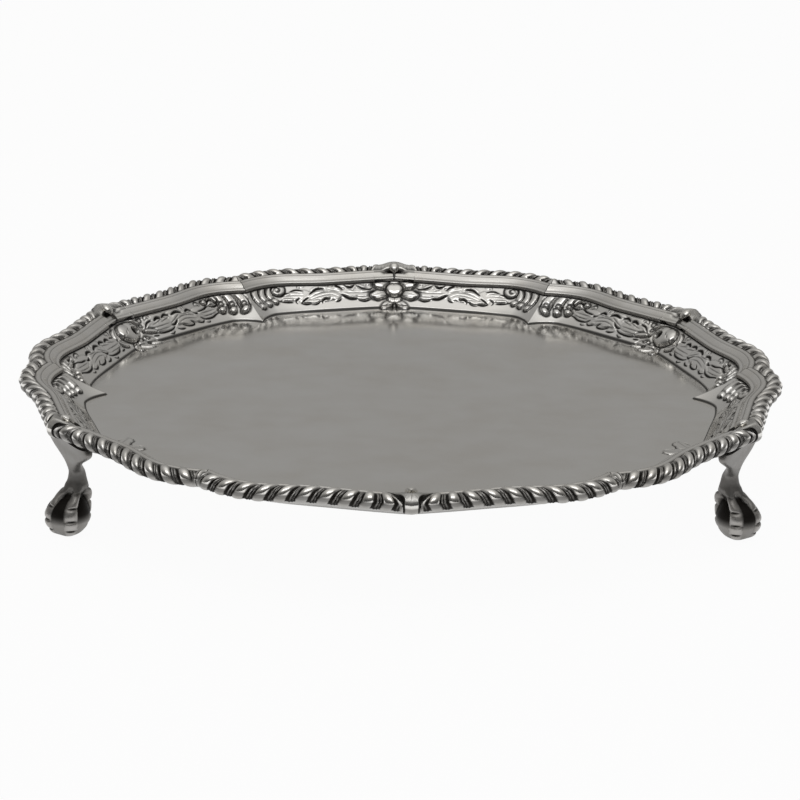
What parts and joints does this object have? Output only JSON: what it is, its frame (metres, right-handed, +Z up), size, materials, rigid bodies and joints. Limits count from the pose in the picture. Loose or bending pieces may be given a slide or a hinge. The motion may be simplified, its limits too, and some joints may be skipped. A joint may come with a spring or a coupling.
{
  "type": "footed salver",
  "caption": "Silver salver with a scalloped gadroon rim, leaf clasps, a chased border round a flat plain well, and claw-and-ball feet.",
  "frame": {"origin": "on the table, under the centre of the plate", "axes": "+Z up, out of the dish; +Y from the centre to the foot at the back of the picture; +X to the right in the picture"},
  "size_m": [0.251, 0.2555, 0.0396],
  "materials": {
    "polished_silver": "polished, lightly worn",
    "cast_silver": "polished casting with darkened grooves",
    "bright_cast_silver": "bright polished casting",
    "worn_cast_silver": "worn casting with darkened grooves"
  },
  "bodies": {
    "root": {"salver_plate": "polished_silver", "rim_section_01": "cast_silver", "rim_section_02": "cast_silver", "rim_section_03": "cast_silver", "rim_section_04": "cast_silver", "rim_section_05": "cast_silver", "rim_section_06": "cast_silver", "rim_section_07": "cast_silver", "rim_section_08": "cast_silver", "rim_section_09": "cast_silver", "rim_section_10": "cast_silver", "rim_section_11": "cast_silver", "rim_section_12": "cast_silver", "knuckle_clasp_1": "bright_cast_silver", "knuckle_clasp_2": "bright_cast_silver", "knuckle_clasp_3": "bright_cast_silver", "knuckle_clasp_4": "bright_cast_silver", "knuckle_clasp_5": "bright_cast_silver", "knuckle_clasp_6": "bright_cast_silver", "claw_foot_1": "worn_cast_silver", "claw_foot_2": "worn_cast_silver", "claw_foot_3": "worn_cast_silver"}
  },
  "joints": []
}
